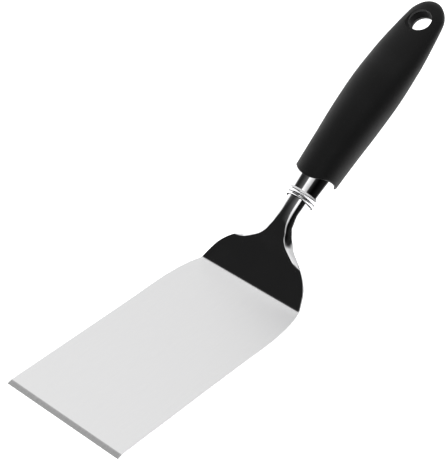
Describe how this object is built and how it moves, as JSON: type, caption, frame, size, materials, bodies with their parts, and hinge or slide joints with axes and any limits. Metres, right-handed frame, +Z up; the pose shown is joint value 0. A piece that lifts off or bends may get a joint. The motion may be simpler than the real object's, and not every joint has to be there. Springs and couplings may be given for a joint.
{
  "type": "grill spatula",
  "caption": "Grill spatula with a flat satin steel blade, a steep pressed neck, a polished ferrule and a black soft-touch handle with a hanging hole.",
  "frame": {"origin": "on the surface that the blade lies on, under the middle of the whole length and width", "axes": "+Y from the blade's front edge to the handle, +Z up from the flat blade, +X across the blade"},
  "size_m": [0.078, 0.3048, 0.1234],
  "materials": {
    "satin_steel": "fine satin on the blade, polished on the web and neck",
    "polished_steel": "mirror polished",
    "hard_plastic": "smooth black",
    "soft_touch": "matte black, soft to the touch"
  },
  "bodies": {
    "root": {"blade_head": "satin_steel", "stem_collar": "polished_steel", "ferrule": "polished_steel", "handle_core": "hard_plastic", "soft_grip": "soft_touch"}
  },
  "joints": []
}
